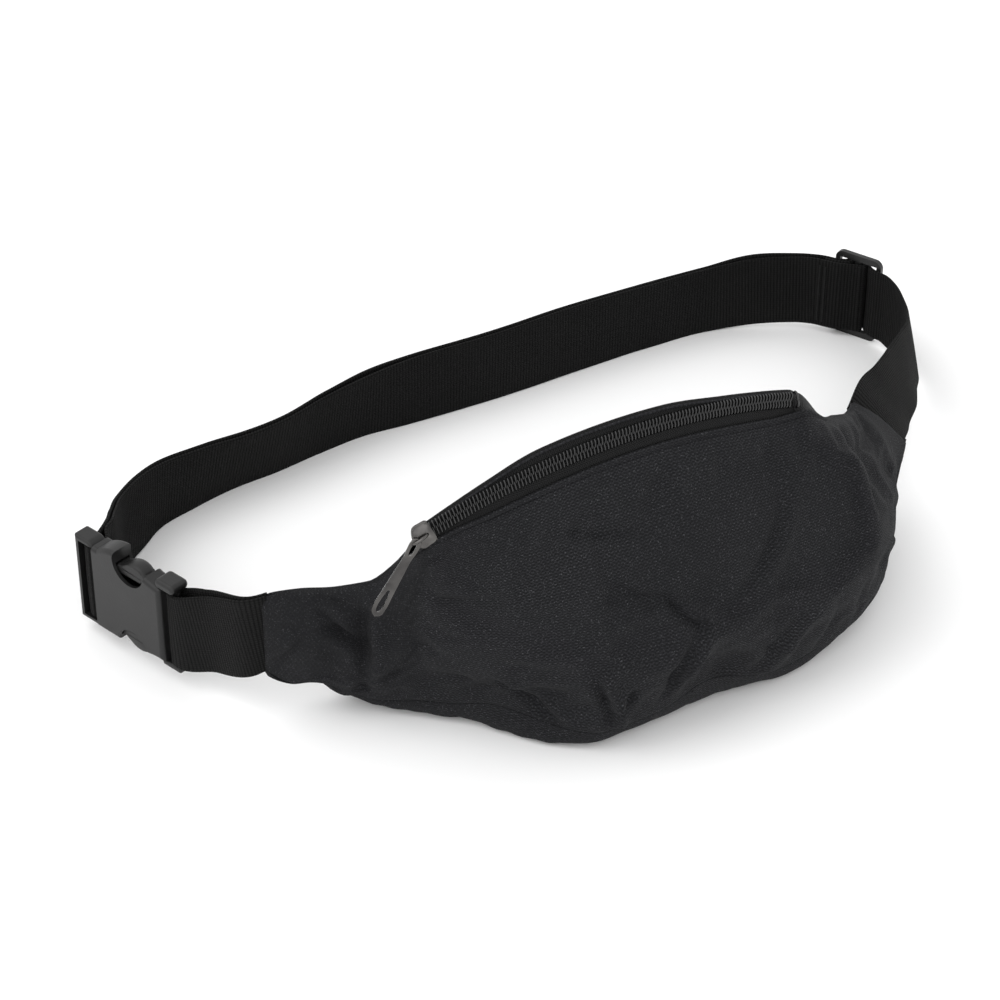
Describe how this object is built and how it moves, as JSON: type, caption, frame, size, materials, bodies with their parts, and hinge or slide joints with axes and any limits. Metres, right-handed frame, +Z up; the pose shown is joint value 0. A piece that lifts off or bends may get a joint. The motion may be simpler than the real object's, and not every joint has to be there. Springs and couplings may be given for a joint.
{
  "type": "waist pack",
  "caption": "Fabric waist pack with an arched coil zip, on a webbing belt closed by a side-release buckle and set to size with a sliding adjuster.",
  "frame": {"origin": "middle of the bag's flat underside, on the surface it stands on", "axes": "+Z up, +X along the bag towards the adjuster end, +Y towards the wearer"},
  "size_m": [0.4337, 0.2658, 0.1356],
  "materials": {
    "bag_fabric": "dark grey plain-weave nylon with a faint sheen",
    "webbing": "black ribbed webbing",
    "zip_tape": "black herringbone tape",
    "zip_coil": "black coil with bright glints",
    "zip_metal": "polished gunmetal plating",
    "buckle_plastic": "moulded black plastic, satin",
    "glide_plastic": "moulded black plastic, satin",
    "binding": "folded binding tape",
    "thread": "black sewing thread"
  },
  "bodies": {
    "bag": {"back_panel": "bag_fabric", "belt_adjust": "webbing", "belt_end": "webbing", "belt_far": "webbing", "belt_inner": "webbing", "belt_rise": "webbing", "belt_slack": "webbing", "buckle_socket": "buckle_plastic", "front_panel": "bag_fabric", "seam_binding": "binding", "short_strap": "webbing", "zip_coil_lower": "zip_coil", "zip_coil_upper": "zip_coil", "zip_end_stop": "zip_metal", "zip_tape_lower": "zip_tape", "zip_tape_upper": "zip_tape"},
    "zip_slider": {"zip_slider": "zip_metal"},
    "zip_pull": {"zip_pull": "zip_metal"},
    "buckle_plug": {"buckle_plug": "buckle_plastic"},
    "prong_upper": {"prong_upper": "buckle_plastic"},
    "prong_lower": {"prong_lower": "buckle_plastic"},
    "tri_glide": {"tri_glide": "glide_plastic", "belt_tail": "webbing", "tail_bartack": "thread"}
  },
  "joints": [
    {"name": "zip_travel", "type": "hinge", "parent": "bag", "child": "zip_slider", "pos_m": [-0.003, 0.06035, -0.07214], "axis": [0, 0.9578, 0.2874], "range_deg": [0, 47]},
    {"name": "pull_swing", "type": "hinge", "parent": "zip_slider", "child": "zip_pull", "pos_m": [-0.10785, 0.00369, 0.10509], "axis": [-0.7026, 0.526, 0.4793], "range_deg": [0, 130]},
    {"name": "buckle_release", "type": "slide", "parent": "bag", "child": "buckle_plug", "axis": [-0.3401, 0.9404, 0], "range_m": [0, 0.032], "deforming": ["belt_end"]},
    {"name": "upper_prong_squeeze", "type": "hinge", "parent": "buckle_plug", "child": "prong_upper", "pos_m": [-0.19307, 0.12838, 0.0445], "axis": [0.9404, 0.3401, 0], "range_deg": [0, 15.5]},
    {"name": "lower_prong_squeeze", "type": "hinge", "parent": "buckle_plug", "child": "prong_lower", "pos_m": [-0.19307, 0.12838, 0.0125], "axis": [-0.9404, -0.3401, 0], "range_deg": [0, 15.5]},
    {"name": "glide_adjust", "type": "slide", "parent": "bag", "child": "tri_glide", "axis": [-0.4699, 0.8827, 0], "range_m": [-0.008, 0.016], "deforming": ["belt_adjust", "belt_slack"]}
  ],
  "couplings": [
    {"joint": "upper_prong_squeeze", "follows": "buckle_release", "rad_per_m": 8.1812},
    {"joint": "lower_prong_squeeze", "follows": "buckle_release", "rad_per_m": 8.1812}
  ]
}
